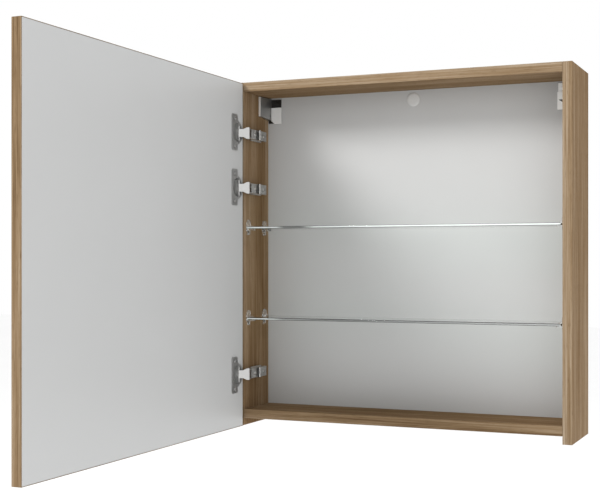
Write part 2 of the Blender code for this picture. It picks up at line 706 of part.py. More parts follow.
def hinge_cup(level, height):
    """Turned cup in the door, with a winged flange, a pivot stub on each wall and a link notch."""
    name = "hinge_cup_" + level
    centre = cup_centre(height)
    rim = FLANGE_THICK + GAP
    profile = [(0, rim), (CUP_RADIUS, rim), (CUP_RADIUS, 0.001 - CUP_DEPTH),
               (CUP_RADIUS - 0.001, -CUP_DEPTH), (0, -CUP_DEPTH)]
    cup = turned(name, profile, NICKEL, centre, FACING_IN, sides=32)
    flange = plate(name + "_flange", wing_outline(), FLANGE_THICK / 2, None,
                   centre + Vector((GAP + FLANGE_THICK / 2, 0, 0)),
                   (math.pi / 2, 0, -math.pi / 2))
    combine(cup, flange, "UNION")
    bore = CUP_RADIUS - CUP_WALL
    depth, above = CUP_DEPTH - CUP_FLOOR, 0.005
    cavity = rod(name + "_cavity", ((above - depth) / 2, 0, 0), (1, 0, 0), bore, depth + above,
                 sides=32, origin=centre)
    combine(cup, cavity)
    notch = box(name + "_notch", centre + Vector((-NOTCH_DROP, bore - 0.0027, -NOTCH_HALF)),
                centre + Vector((above, CUP_FROM_EDGE - 0.0012, NOTCH_HALF)))
    combine(cup, notch)
    wall = math.sqrt(bore ** 2 - (CUP_FROM_EDGE - CUP_PIVOT_ALONG) ** 2)
    half = (wall + 0.0008 - CUP_STUB_INNER) / 2
    for place, sign in ENDS.items():
        stub = pivot_rod(f"{name}_{place}_stub", hinge_datum(height), cup_pivot(),
                         CUP_STUB_RADIUS, half, sign * (CUP_STUB_INNER + half))
        combine(cup, stub, "UNION")
    for place, sign in ENDS.items():
        hole_centre = centre + cup_screw_offset(sign)
        combine(cup, screw_hole(f"{name}_{place}_hole", hole_centre, CUP_SCREW_HOLE))


def cup_screw_offset(sign):
    return Vector((0, CUP_FROM_EDGE - WING_FROM_EDGE, sign * CUP_SCREW_SPREAD))


def cup_screws(level, height):
    top = FLANGE_THICK + 2 * GAP
    profile = [(0, top + 0.0016), (0.0026, top + 0.0013), (0.0036, top + 0.0003), (0.0036, top),
               (0.0016, top), (0.0016, -0.0105), (0, -0.0125)]
    for place, sign in ENDS.items():
        turned(f"cup_screw_{level}_{place}", profile, SCREW_ZINC,
               cup_centre(height) + cup_screw_offset(sign), FACING_IN, sides=10)


# ---------------------------------------------------------------- door

def door_panel():
    """The door at rest stands at a right angle to the carcass, along -Y from its hinge edge."""
    face_x = LEFT_INNER + DOOR_EDGE[0]
    edge_y = FRONT_Y + DOOR_EDGE[1]
    panel = box("door_panel", (face_x - DOOR_THICK, edge_y - DOOR_WIDTH, BASE_Z),
                (face_x, edge_y, TOP_Z - DOOR_TOP_GAP), DOOR_PALE, bevel=BOARD_BEVEL)
    deep, above = CUP_DEPTH + GAP, 0.004
    for level, height in HINGE_HEIGHTS.items():
        centre = cup_centre(height)
        bore = rod(f"door_bore_{level}", ((above - deep) / 2, 0, 0), (1, 0, 0),
                   CUP_RADIUS + GAP, deep + above, sides=32, origin=centre)
        combine(panel, bore)
        for place, sign in ENDS.items():
            pilot = rod(f"door_pilot_{level}_{place}", (-0.0050, 0, 0), (1, 0, 0), PILOT_RADIUS,
                        0.0165, sides=10, origin=centre + cup_screw_offset(sign))
            combine(panel, pilot)


def mirror():
    """Glued to the door's outer face, which looks away from the carcass while the door is open."""
    near_x = LEFT_INNER + DOOR_EDGE[0] - DOOR_THICK - GAP
    edge_y = FRONT_Y + DOOR_EDGE[1]
    box("mirror", (near_x - MIRROR_THICK, edge_y - DOOR_WIDTH + MIRROR_REVEAL,
                   BASE_Z + MIRROR_REVEAL),
        (near_x, edge_y - MIRROR_REVEAL, TOP_Z - DOOR_TOP_GAP - MIRROR_REVEAL),
        MIRROR, bevel=MIRROR_BEVEL)


def hang_door():
    """Parent everything on the door to an empty on the axis through the cups' pivots."""
    swing = bpy.data.objects.new("door_swing_axis", None)
    PARTS.objects.link(swing)
    swing.location = (LEFT_INNER + cup_pivot()[0], FRONT_Y + cup_pivot()[1], 0)
    bpy.context.view_layer.update()
    names = ["door_panel", "mirror"]
    for level in HINGE_HEIGHTS:
        names += ["hinge_cup_" + level, f"cup_screw_{level}_upper", f"cup_screw_{level}_lower"]
    for name in names:
        keep_place(PARTS.objects[name], swing)


def build():
    cross_board("top_board", CEILING_Z, CEILING_Z)
    cross_board("bottom_board", FLOOR_Z - BOARD, FLOOR_Z)
    back_panel()
    cable_hole_plug()
    for side, sign in SIDES.items():
        side_panel(side, sign)
        hanger_body(side, sign)
        hanger_hook(side, sign)
        hanger_cover(side, sign)
        hanger_screw(side, sign)
    for level in SHELF_TOPS:
        glass_shelf(level)
        for side, sign in SIDES.items():
            for place in SUPPORT_DEPTHS:
                shelf_support(level, side, sign, place)
    door_panel()
    mirror()
    for level, height in HINGE_HEIGHTS.items():
        mounting_plate(level, height)
        hinge_arm(level, height)
        arm_screws(level, height)
        front_link(level, height)
        rear_link(level, height)
        hinge_cup(level, height)
        cup_screws(level, height)
    hang_door()


build()
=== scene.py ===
import math

import bmesh
import bpy
from mathutils import Matrix, Vector


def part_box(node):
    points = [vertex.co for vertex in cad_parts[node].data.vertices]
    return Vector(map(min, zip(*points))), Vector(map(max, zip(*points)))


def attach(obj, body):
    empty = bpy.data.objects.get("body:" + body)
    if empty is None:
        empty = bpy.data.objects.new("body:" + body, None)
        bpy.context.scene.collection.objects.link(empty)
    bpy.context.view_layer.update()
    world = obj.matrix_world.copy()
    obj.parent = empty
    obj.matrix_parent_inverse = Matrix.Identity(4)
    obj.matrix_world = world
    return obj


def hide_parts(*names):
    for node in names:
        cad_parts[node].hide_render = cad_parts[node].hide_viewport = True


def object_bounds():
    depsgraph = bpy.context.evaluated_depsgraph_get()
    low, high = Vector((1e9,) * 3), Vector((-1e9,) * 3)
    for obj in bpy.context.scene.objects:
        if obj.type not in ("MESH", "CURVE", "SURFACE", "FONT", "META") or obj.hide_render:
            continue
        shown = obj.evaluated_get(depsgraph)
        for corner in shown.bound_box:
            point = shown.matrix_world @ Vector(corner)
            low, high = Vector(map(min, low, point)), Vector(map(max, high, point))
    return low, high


# The looks of a wall-hung mirror cabinet whose door stands open. Metres; the wall is the plane
# Y = 0, the cabinet faces -Y, +Z is up and X runs across it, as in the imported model.

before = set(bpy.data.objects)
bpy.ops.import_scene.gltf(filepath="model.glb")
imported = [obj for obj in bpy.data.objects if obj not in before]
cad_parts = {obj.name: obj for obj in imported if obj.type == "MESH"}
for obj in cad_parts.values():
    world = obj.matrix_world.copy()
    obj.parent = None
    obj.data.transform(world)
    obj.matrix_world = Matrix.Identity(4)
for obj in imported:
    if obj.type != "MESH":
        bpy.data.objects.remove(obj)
CAD_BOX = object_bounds()

CARCASS = "carcass"
DOOR = "door"
FRONT_LINKS = "hinge_links"
REAR_LINKS = "rear_links"
LEVELS = ("top", "middle", "bottom")
SIDES = {"left": -1, "right": 1}

X, Y, Z = Vector((1, 0, 0)), Vector((0, 1, 0)), Vector((0, 0, 1))

# Edges from SHARP_ANGLE on are shaded sharp, and edges from SOFT_ANGLE on are rounded
SHARP_ANGLE = math.radians(35)
SOFT_ANGLE = math.radians(30)

# CAD copies: points nearer than WELD are one, and faces within FLAT_ANGLE are one flat face
WELD = 1e-6
FLAT_ANGLE = math.radians(1.0)

# A face looks along an axis when its unit normal's part along it is more than FACING
FACING = 0.9

# Boards: a vertex within NEAR_FACE of a board's face belongs to it. BAND is an edge band's
# thickness, and BAND_GAP is left between a side panel and the band of a board beside it
NEAR_FACE = 0.002
BAND = 0.0008
BAND_GAP = 0.0003
BAND_ROUNDING = 0.0005
DOOR_BAND_ROUNDING = 0.0004
MIRROR_ROUNDING = 0.0011

# The cup bores' rim is broken by this much, over a little more than the rear link's height
RIM_BREAK = 0.0006
RIM_BREAK_MARGIN = 0.0008

# Shelves and their clips
SHELF_ROUNDING = {"lower": 0.0017, "upper": 0.0013}
CLIP_ROUNDING = 0.0003

# Hangers: the flange's cut edge (painted highlight) and the web (painted light and shade) are the
# faces within a depth of the body's front and rear. The painted shade patch is measured from the
# right cover's upper corner by the side panel
HANGER_ROUNDING = 0.0004
HANGER_SCREW_RADIUS = 0.0034
CUT_EDGE_DEPTH = 0.001
WEB_DEPTH = 0.003
WEB_FACING = 0.5
SHADE_PATCH_ACROSS = 0.0105
SHADE_PATCH_DOWN = 0.0070
SHADE_PATCH_FROM_SIDE = 0.0080
SHADE_PATCH_FROM_TOP = 0.0130
SHADE_PATCH_THICK = 0.0003
SHADE_PATCH_SINK = 0.0001

# Hinges: the cup's inside lies deeper than CUP_FLANGE. The lever and the slot are stretches of
# the arm, measured forward from its rear end
CUP_FLANGE = 0.0016
HINGE_SCREW_RADIUS = 0.0036
LEVER_STRETCH = (0.0375, 0.0325)
LEVER_RISE = 0.0024
LEVER_ROUNDING = 0.0004
SLOT_STRETCH = (0.0402, 0.0378)
SLOT_RISE = 0.0001
ARM_SINK = 0.0004
ARM_MARGIN = 0.0015

# Screws: the head's height, and the length of the recess cutter, which goes half into the head
SCREW_HEAD = 0.0014
RECESS_CUTTER = 0.0014

# Picture: where the camera stands, how far it is turned to the left, and its lens
CAMERA_PLACE = (0.6686, -1.916, -0.277)
CAMERA_TURN = 22.19
CAMERA_LENS = 68.3
CAMERA_SHIFT = (-0.1015, 0.0173)

# Light: the key comes from the upper left in front and travels along KEY_TRAVEL. Both lights
# look at LIGHT_AIM
KEY_TRAVEL = Vector((0.863, 1.0, -0.98))
KEY_DISTANCE = 3.4
KEY_POWER = 98
KEY_SIZE = (1.0, 1.0)
FILL_PLACE = (2.2, -2.8, 0.0)
FILL_POWER = 16
FILL_SIZE = (2.0, 2.0)
LIGHT_AIM = Vector((0, -0.1, -0.27))

# Floor: how far it lies below the cabinet, and how far it reaches
FLOOR_DROP = 0.62
FLOOR_REACH = 14.0


# ---------------------------------------------------------------- materials

class Recipe:
    """A material under construction: nodes are added by kind, and inputs take values or sockets."""

    def __init__(self, name):
        self.material = bpy.data.materials.new(name)
        self.material.use_nodes = True
        self.tree = self.material.node_tree
        self.shader = self.tree.nodes["Principled BSDF"]
        self.coords = self.node("ShaderNodeTexCoord").outputs["Object"]

    def plug(self, socket, value):
        if isinstance(value, bpy.types.NodeSocket):
            self.tree.links.new(value, socket)
        else:
            socket.default_value = value

    def node(self, kind, inputs=None, **settings):
        node = self.tree.nodes.new(kind)
        for key, value in settings.items():
            setattr(node, key, value)
        for key, value in (inputs or {}).items():
            self.plug(node.inputs[key], value)
        return node

    def surface(self, **values):
        """Set the shader's inputs; underscores stand for the spaces in their names."""
        for key, value in values.items():
            self.plug(self.shader.inputs[key.replace("_", " ")], value)

    def stretched(self, scale, offset=(0, 0, 0)):
        """Object coordinates scaled by axis, after an offset."""
        moved = self.node("ShaderNodeVectorMath", {0: self.coords, 1: offset}, operation="ADD")
        return self.node("ShaderNodeVectorMath", {0: moved.outputs[0], 1: scale},
                         operation="MULTIPLY").outputs[0]

    def noise(self, vector, detail=4.0, roughness=0.55, distortion=0.0):
        return self.node("ShaderNodeTexNoise", {
            "Vector": vector, "Scale": 1.0, "Detail": detail, "Roughness": roughness,
            "Distortion": distortion}).outputs["Fac"]

    def speckle(self, scale, detail=2.0, roughness=0.55):
        """Noise that is as fine in every direction, by cycles per metre."""
        return self.noise(self.stretched((scale, scale, scale)), detail, roughness)

    def math(self, operation, first, second):
        return self.node("ShaderNodeMath", {0: first, 1: second},
                         operation=operation).outputs[0]

    def fit(self, value, low, high, new_low=0.0, new_high=1.0):
        return self.node("ShaderNodeMapRange", {
            "Value": value, "From Min": low, "From Max": high, "To Min": new_low,
            "To Max": new_high}).outputs["Result"]

    def ramp(self, value, stops):
        node = self.node("ShaderNodeValToRGB", {"Fac": value})
        elements = node.color_ramp.elements
        while len(elements) < len(stops):
            elements.new(0.5)
        for element, (place, colour) in zip(elements, stops):
            element.position = place
            element.color = (*colour, 1.0)
        return node.outputs["Color"]

    def mix(self, factor, first, second):
        node = self.node("ShaderNodeMix", data_type="RGBA")
        for index, value in ((0, factor), (6, first), (7, second)):
            self.plug(node.inputs[index], value)
        return node.outputs[2]

    def bump(self, height, distance):
        node = self.node("ShaderNodeBump", {
            "Height": height, "Distance": distance, "Strength": 1.0})
        self.plug(self.shader.inputs["Normal"], node.outputs["Normal"])


def shaded(colour, factor):
    """A colour with each channel times a factor."""
    return tuple(factor * value for value in colour)


def along_grain(axis, along, across):
    """A scale vector that is low along one axis and high across it."""
    return tuple(along if letter == axis else across for letter in "XYZ")


OAK_BROWNS = [(0.30, (0.106, 0.061, 0.029)), (0.44, (0.192, 0.121, 0.063)),
              (0.56, (0.253, 0.175, 0.105)), (0.72, (0.335, 0.249, 0.168))]
OAK_PORE = (0.072, 0.040, 0.018, 1.0)
NO_CAST = (1.0, 1.0, 1.0)
BAND_CAST = (1.0, 1.07, 1.16)
BOARD_STREAK = 48.0
BAND_STREAK = 240.0


def oak(axis, seed, lift=0.0, streak=BOARD_STREAK, cast=NO_CAST):
    """Printed oak foil: broad streaks, a wandering figure, fine fibres and dark pores.

    The lift brightens the tone, the streak gives cycles per metre across the grain, and the cast
    tints the browns.
    """
    made = Recipe(f"oak_decor_{axis.lower()}_{seed}")
    offset = (0.37 * seed, 0.53 * seed, 0.71 * seed)
    streaks = made.noise(made.stretched(along_grain(axis, 2.4, streak), offset), detail=5.0,
                         roughness=0.66, distortion=0.25)
    bands = made.noise(made.stretched(along_grain(axis, 0.8, 0.35 * streak), offset), detail=2.0,
                       roughness=0.5)
    fibres = made.noise(made.stretched(along_grain(axis, 9.0, 620.0), offset), detail=3.0,
                        roughness=0.65)
    pores = made.noise(made.stretched(along_grain(axis, 55.0, 1500.0), offset), detail=2.0,
                       roughness=0.5)
    tone = made.math("ADD", made.math("MULTIPLY", streaks, 0.66),
                     made.math("MULTIPLY", bands, 0.34))
    tone = made.math("ADD", tone, made.fit(fibres, 0.3, 0.7, lift - 0.10, lift + 0.10))
    colour = made.ramp(tone, [(place, tuple(a * b for a, b in zip(brown, cast)))
                              for place, brown in OAK_BROWNS])
    dark = made.fit(pores, 0.60, 0.70, 0.0, 0.65)
    colour = made.mix(dark, colour, OAK_PORE)
    grain = made.math("SUBTRACT", fibres, made.math("MULTIPLY", dark, 0.8))
    made.surface(Base_Color=colour, Roughness=made.fit(fibres, 0.25, 0.75, 0.42, 0.54),
                 Specular_IOR_Level=0.001)
    made.bump(grain, 0.00006)
    return made.material


def laminate(name, colour, roughness, peel):
    """Pale melamine or lacquer: an even tone, the faintest clouding and a fine pressed texture."""
    made = Recipe(name)
    cloud = made.speckle(5.0)
    tint = made.ramp(cloud, [(0.3, shaded(colour, 0.985)), (0.7, colour)])
    pressed = made.speckle(900.0)
    made.surface(Base_Color=tint, Roughness=made.fit(pressed, 0.3, 0.7, roughness - 0.02,
                                                     roughness + 0.02))
    made.bump(pressed, peel)
    return made.material


def chipboard(name, colour):
    """Raw board, as on an edge or a rear face: pressed flakes in warm browns."""
    made = Recipe(name)
    flakes = made.node("ShaderNodeTexVoronoi", {
        "Vector": made.stretched((420.0, 420.0, 900.0)), "Scale": 1.0}).outputs["Color"]
    grey = made.node("ShaderNodeRGBToBW", {"Color": flakes}).outputs[0]
    tint = made.ramp(grey, [(0.15, shaded(colour, 0.62)), (0.85, colour)])
    made.surface(Base_Color=tint, Roughness=0.85)
    made.bump(grey, 0.00015)
    return made.material


def metal(name, colour, roughness, brushed):
    """Plated metal: faint clouding in the gloss and fine wandering marks."""
    made = Recipe(name)
    cloud = made.speckle(160.0, detail=4.0, roughness=0.6)
    marks = made.noise(made.stretched((brushed, 900.0, 900.0)), detail=3.0)
    tint = made.ramp(cloud, [(0.3, shaded(colour, 0.93)), (0.7, colour)])
    made.surface(Base_Color=tint, Metallic=1.0,
                 Roughness=made.fit(cloud, 0.3, 0.7, roughness - 0.04, roughness + 0.06))
    made.bump(marks, 0.00001)
    return made.material


def glass(name, colour, roughness, ior, clarity=1.0):
    """Clear glass or plastic with a faint smear in its gloss; lamps shine straight through it."""
    made = Recipe(name)
    smear = made.speckle(35.0, detail=3.0)
    tint = made.ramp(smear, [(0.4, shaded(colour, 0.985)), (0.6, colour)])
    made.surface(Base_Color=tint, Transmission_Weight=clarity, IOR=ior,
                 Roughness=made.fit(smear, 0.35, 0.75, roughness, roughness + 0.015))
    path = made.node("ShaderNodeLightPath").outputs
    through = made.math("MAXIMUM", path["Is Shadow Ray"], path["Is Diffuse Ray"])
    clear = made.node("ShaderNodeBsdfTransparent", {"Color": (*colour, 1.0)}).outputs["BSDF"]
    blend = made.node("ShaderNodeMixShader", {
        0: through, 1: made.shader.outputs["BSDF"], 2: clear}).outputs["Shader"]
    made.plug(made.tree.nodes["Material Output"].inputs["Surface"], blend)
    return made.material


def shelf_edge(name, stops):
    """A glass shelf's front edge: stops give its painted highlights and painted shade along its
    length, from the left end.
    """
    made = Recipe(name)
    parts = made.node("ShaderNodeSeparateXYZ", {"Vector": made.coords}).outputs
    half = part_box("lower_glass_shelf")[1].x
    smear = made.speckle(60.0)
    along = made.math("ADD", made.fit(parts["X"], -half, half),
                      made.fit(smear, 0.3, 0.7, -0.006, 0.006))
    made.surface(Base_Color=made.ramp(along, stops), Transmission_Weight=0.3, IOR=1.5,
                 Roughness=0.3)
    return made.material


def silvered():
    """The mirror's face, with the faintest haze."""
    made = Recipe("mirror_silver")
    haze = made.speckle(14.0, detail=3.0)
    tint = made.ramp(haze, [(0.35, (0.875, 0.896, 0.89)), (0.65, (0.885, 0.906, 0.90))])
    made.surface(Base_Color=tint, Metallic=1.0, Roughness=made.fit(haze, 0.4, 0.8, 0.006, 0.009))
    return made.material


def moulded(name, colour, roughness, grain):
    """Moulded plastic, or another matt pale part, with a fine spark-eroded texture."""
    made = Recipe(name)
    speck = made.speckle(2600.0)
    cloud = made.speckle(70.0)
    tint = made.ramp(cloud, [(0.35, shaded(colour, 0.96)), (0.65, colour)])
    made.surface(Base_Color=tint, Roughness=made.fit(speck, 0.3, 0.7, roughness - 0.04,
                                                     roughness + 0.05))
    made.bump(speck, grain)
    return made.material


DOOR_LAMINATE = laminate("door_laminate_grey", (0.495, 0.50, 0.50), 0.38, 0.000008)
BACK_LACQUER = laminate("back_lacquer_pale", (0.435, 0.435, 0.43), 0.34, 0.000004)
BACK_RAW = chipboard("hardboard_brown", (0.30, 0.20, 0.12))
RAW_EDGE = chipboard("chipboard_raw", (0.52, 0.40, 0.26))
SILVER = silvered()
MIRROR_EDGE = glass("mirror_ground_edge", (0.62, 0.80, 0.73), 0.25, 1.5)
SHELF_GLASS = glass("shelf_float_glass", (0.955, 0.985, 0.975), 0.0, 1.5)
CLIP_PLASTIC = glass("clip_clear_plastic", (0.96, 0.965, 0.96), 0.04, 1.47, 0.94)
# Painted light on the shelves' front edges: a glint, a half shade and a full shade
EDGE_PAINTED_GLINT = (0.84, 0.89, 0.87)
EDGE_PAINTED_HALF_SHADE = (0.36, 0.37, 0.365)
EDGE_PAINTED_SHADE = (0.17, 0.175, 0.17)
SHELF_EDGES = {
    "upper": shelf_edge("upper_shelf_edge_painted_light", [(0.10, EDGE_PAINTED_GLINT), (0.13, EDGE_PAINTED_SHADE),
                                             (0.19, EDGE_PAINTED_SHADE), (0.23, EDGE_PAINTED_GLINT)]),
    "lower": shelf_edge("lower_shelf_edge_painted_light", [(0.09, EDGE_PAINTED_GLINT), (0.13, EDGE_PAINTED_HALF_SHADE),
                                             (0.30, EDGE_PAINTED_SHADE), (0.95, EDGE_PAINTED_HALF_SHADE)])}
NICKEL = metal("nickel_plating", (0.76, 0.755, 0.74), 0.2, 60.0)
ARM_NICKEL = metal("nickel_arm", (0.54, 0.535, 0.52), 0.3, 60.0)
CUP_NICKEL = metal("nickel_cup", (0.43, 0.43, 0.425), 0.42, 60.0)
# A lighter copy of the cup's nickel for its inside: painted light that offsets the shade in the cup
CUP_INSIDE_PAINTED_LIGHT = metal("nickel_cup_inside_painted_light", (0.56, 0.56, 0.55), 0.5, 60.0)
STEEL = metal("zinc_pressed_steel", (0.5, 0.5, 0.5), 0.38, 40.0)
# The hanger covers are one plastic in two copies: a greyer one, painted shade, and a paler one, also
# painted light on the right web and screw
COVER_PAINTED_SHADE = moulded("hanger_cover_painted_shade", (0.66, 0.66, 0.65), 0.42, 0.00001)
COVER_PALE_AND_PAINTED_LIGHT = moulded("hanger_cover_pale_and_painted_light", (0.90, 0.90, 0.885), 0.42, 0.00001)
HANGER_STEEL = metal("hanger_steel", (0.38, 0.38, 0.375), 0.42, 40.0)
# Near-black steel for the left web and screw: painted shade
HANGER_WEB_PAINTED_SHADE = metal("hanger_web_painted_shade", (0.05, 0.05, 0.048), 0.5, 40.0)
LINK_NICKEL = metal("nickel_link", (0.43, 0.428, 0.42), 0.42, 60.0)
# Near-black sheets of painted shade: over the hinge arms' slots and on the right hanger's cover
BLACK_PAINTED_SHADE = metal("black_painted_shade", (0.06, 0.06, 0.06), 0.6, 40.0)
# A pale strip for the hanger flange's cut edge: painted highlight
HANGER_EDGE_PAINTED_HIGHLIGHT = moulded("hanger_edge_painted_highlight", (0.62, 0.60, 0.57), 0.4, 0.00001)
PLUG_PLASTIC = moulded("plug_pale", (0.55, 0.55, 0.54), 0.35, 0.000008)

# The hangers differ in painted light and shade: web and screw are near black, painted shade, on the
# left one and pale, painted light, on the right one, and the left cover is a greyer copy of the right
# one's plastic, painted shade
WEB_PAINTED_LIGHT_AND_SHADE = {"left": HANGER_WEB_PAINTED_SHADE, "right": COVER_PALE_AND_PAINTED_LIGHT}
COVER_PAINTED_LIGHT_AND_SHADE = {"left": COVER_PAINTED_SHADE, "right": COVER_PALE_AND_PAINTED_LIGHT}

# Each hinge part's edge rounding, body and plating
HINGE_PARTS = {
    "plate": (0.0003, CARCASS, ARM_NICKEL),
    "arm": (0.00025, CARCASS, ARM_NICKEL),
    "link": (0.00025, FRONT_LINKS, LINK_NICKEL),
    "rear_link": (0.0002, REAR_LINKS, NICKEL),
    "cup": (0.0002, DOOR, CUP_NICKEL)}


# ---------------------------------------------------------------- mesh helpers

def new_object(name, shape):
    """A bmesh as a smooth-shaded object whose sharp edges stay sharp.

    Normals that came along with a CAD shape are dropped, since they don't fit the new shape.
    """
    mesh = bpy.data.meshes.new(name)
    shape.to_mesh(mesh)
    shape.free()
    if "custom_normal" in mesh.attributes:
        mesh.attributes.remove(mesh.attributes["custom_normal"])
    obj = bpy.data.objects.new(name, mesh)
    bpy.context.scene.collection.objects.link(obj)
    mesh.shade_smooth()
    mesh.set_sharp_from_angle(angle=SHARP_ANGLE)
    return obj


def apply_modifiers(obj):
    bpy.context.view_layer.update()
    graph = bpy.context.evaluated_depsgraph_get()
    mesh = bpy.data.meshes.new_from_object(obj.evaluated_get(graph))
    obj.modifiers.clear()
    obj.data = mesh
    return obj


def soften(obj, width, segments=2):
    """Round the sharp edges, with shading that keeps the flats flat."""
    bevel = obj.modifiers.new("soft_edges", "BEVEL")
    bevel.width = width
    bevel.segments = segments
    bevel.limit_method = "ANGLE"
    bevel.angle_limit = SOFT_ANGLE
    bevel.harden_normals = True
    return apply_modifiers(obj)


def finish(obj, material, body, slot, *nodes):
    """Give a piece its material, its body and the CAD nodes that it stands for. The slot is not used.
    """
    obj.data.materials.clear()
    obj.data.materials.append(material)
    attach(obj, body)
    if nodes:
        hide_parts(*nodes)


def slab(name, low, high, edge=0.0, segments=3):
    """A box between two corners with rounded edges."""
    low, high = Vector(low), Vector(high)
    shape = bmesh.new()
    size = Matrix.Diagonal((*(high - low), 1.0))
    bmesh.ops.create_cube(shape, size=1.0, matrix=Matrix.Translation((low + high) / 2) @ size)
    obj = new_object(name, shape)
    return soften(obj, edge, segments) if edge else obj


def cad_copy(node, name):
    """The shape of a CAD node as a new object, its flat faces whole again."""
    shape = bmesh.new()
    shape.from_mesh(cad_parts[node].data)
    bmesh.ops.remove_doubles(shape, verts=shape.verts, dist=WELD)
    bmesh.ops.dissolve_limit(shape, angle_limit=FLAT_ANGLE, verts=shape.verts, edges=shape.edges)
    return new_object(name, shape)


def prism(name, outline, place, side, up, depth):
    """A flat outline in the plane of two directions, extruded both ways along their normal."""
    side, up = Vector(side), Vector(up)
    normal = side.cross(up)
    shape = bmesh.new()
    verts = [shape.verts.new(Vector(place) + side * a + up * b - normal * depth / 2)
             for a, b in outline]
    face = shape.faces.new(verts)
    pulled = bmesh.ops.extrude_face_region(shape, geom=[face])
    moved = [item for item in pulled["geom"] if isinstance(item, bmesh.types.BMVert)]
    bmesh.ops.translate(shape, verts=moved, vec=normal * depth)
    bmesh.ops.recalc_face_normals(shape, faces=shape.faces)
    return new_object(name, shape)


def turned(name, profile, place, axis, steps=64):
    """A profile of (radius, height) turned about an axis through a place."""
    shape = bmesh.new()
    turn = Z.rotation_difference(Vector(axis)).to_matrix().to_4x4()
    move = Matrix.Translation(place) @ turn
    rings = []
    for radius, height in profile:
        if radius < 1e-7:
            rings.append([shape.verts.new(move @ Vector((0, 0, height)))])
            continue
        angles = [2 * math.pi * step / steps for step in range(steps)]
        rings.append([shape.verts.new(move @ Vector((radius * math.cos(angle),
                                                     radius * math.sin(angle), height)))
                      for angle in angles])
    for first, second in zip(rings, rings[1:]):
        for step in range(steps):
            corners = [first[step % len(first)], first[(step + 1) % len(first)],
                       second[(step + 1) % len(second)], second[step % len(second)]]
            shape.faces.new(list(dict.fromkeys(corners)))
    bmesh.ops.recalc_face_normals(shape, faces=shape.faces)
    return new_object(name, shape)


def paint(obj, material, wanted):
    """The faces that are wanted take a further material."""
    obj.data.materials.append(material)
    for face in obj.data.polygons:
        if wanted(face):
            face.material_index = len(obj.data.materials) - 1


def cut(obj, *tools):
    """Cut tools out of an object and remove them."""
    for tool in tools:
        modifier = obj.modifiers.new(tool.name, "BOOLEAN")
        modifier.operation = "DIFFERENCE"
        modifier.solver = "EXACT"
        modifier.object = tool
    apply_modifiers(obj)
    for tool in tools:
        bpy.data.objects.remove(tool, do_unlink=True)
    obj.data.shade_smooth()
    obj.data.set_sharp_from_angle(angle=SHARP_ANGLE)


# ---------------------------------------------------------------- boards

def raw_rear(obj, material):
    """The faces towards the wall take an unlaminated material."""
    paint(obj, material, lambda face: face.normal.y > FACING)


def board(node, axis, seed, lift, front_lift):
    """A carcass board: the CAD shape set back at the front, where an edge band covers it."""
    low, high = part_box(node)
    body = cad_copy(node, node + "_board")
    for vert in body.data.vertices:
        if vert.co.y < low.y + NEAR_FACE:
            vert.co.y += BAND
    finish(body, oak(axis, seed, lift), CARCASS, "oak_decor", node)
    raw_rear(body, RAW_EDGE)
    if axis == "X":
        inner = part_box("side_panel_left")[1].x + BAND_GAP
        low.x, high.x = inner, -inner
    band = slab(node + "_edge_band", low, (high.x, low.y + BAND, high.z), BAND_ROUNDING)
    foil = oak(axis, seed + 20, front_lift, BAND_STREAK, BAND_CAST)
    finish(band, foil, CARCASS, "oak_decor")


def carcass():
    """Side panels, top and bottom boards, and the back panel."""
    board("side_panel_left", "Z", 1, 0.0, 0.0)
    board("side_panel_right", "Z", 2, 0.02, 0.0)
    board("top_board", "X", 3, 0.0, 0.02)
    # The bottom board's front band is set darker: painted shade, where the door's shadow falls across
    # it
    board("bottom_board", "X", 4, -0.02, -0.07)
    panel = cad_copy("back_panel", "back_panel_sheet")
    finish(panel, BACK_LACQUER, CARCASS, "back_laminate", "back_panel")
    raw_rear(panel, BACK_RAW)


def rim_relief(level, face_x):
    """A cutter that breaks the cup bore's rim, where the rear link passes with the door wide open."""
    low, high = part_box(f"hinge_rear_link_{level}")
    rim_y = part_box(f"hinge_cup_{level}")[1].y - RIM_BREAK
    outline = [(-RIM_BREAK, 0), (0, -RIM_BREAK), (RIM_BREAK, 0), (0, RIM_BREAK)]
    return prism("rim_relief_" + level, outline, (face_x, rim_y, (low.z + high.z) / 2), X, Y,
                 high.z - low.z + 2 * RIM_BREAK_MARGIN)


def door():
    """Laminated slab with an oak band on each edge, and the mirror on its outer face."""
    low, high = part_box("door_panel")
    slab_body = cad_copy("door_panel", "door_slab")
    for vert in slab_body.data.vertices:
        for index in (1, 2):
            if vert.co[index] < low[index] + NEAR_FACE:
                vert.co[index] += BAND
            elif vert.co[index] > high[index] - NEAR_FACE:
                vert.co[index] -= BAND
    cut(slab_body, *[rim_relief(level, high.x) for level in LEVELS])
    finish(slab_body, DOOR_LAMINATE, DOOR, "door_laminate", "door_panel")
    upright = oak("Z", 7, -0.07, BAND_STREAK, BAND_CAST)
    level = oak("Y", 8, -0.02, BAND_STREAK, BAND_CAST)
    bands = {
        "free": (low, (high.x, low.y + BAND, high.z), upright),
        "hinge": ((low.x, high.y - BAND, low.z), high, upright),
        "top": ((low.x, low.y + BAND, high.z - BAND), (high.x, high.y - BAND, high.z), level),
        "bottom": ((low.x, low.y + BAND, low.z), (high.x, high.y - BAND, low.z + BAND), level)}
    for place, (near, far, foil) in bands.items():
        band = slab(f"door_{place}_edge_band", near, far, DOOR_BAND_ROUNDING)
        finish(band, foil, DOOR, "oak_decor")
    silver = slab("door_mirror", *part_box("mirror"), MIRROR_ROUNDING)
    finish(silver, SILVER, DOOR, "mirror_glass", "mirror")
    paint(silver, MIRROR_EDGE, lambda face: abs(face.normal.x) < FACING)


# ---------------------------------------------------------------- shelves

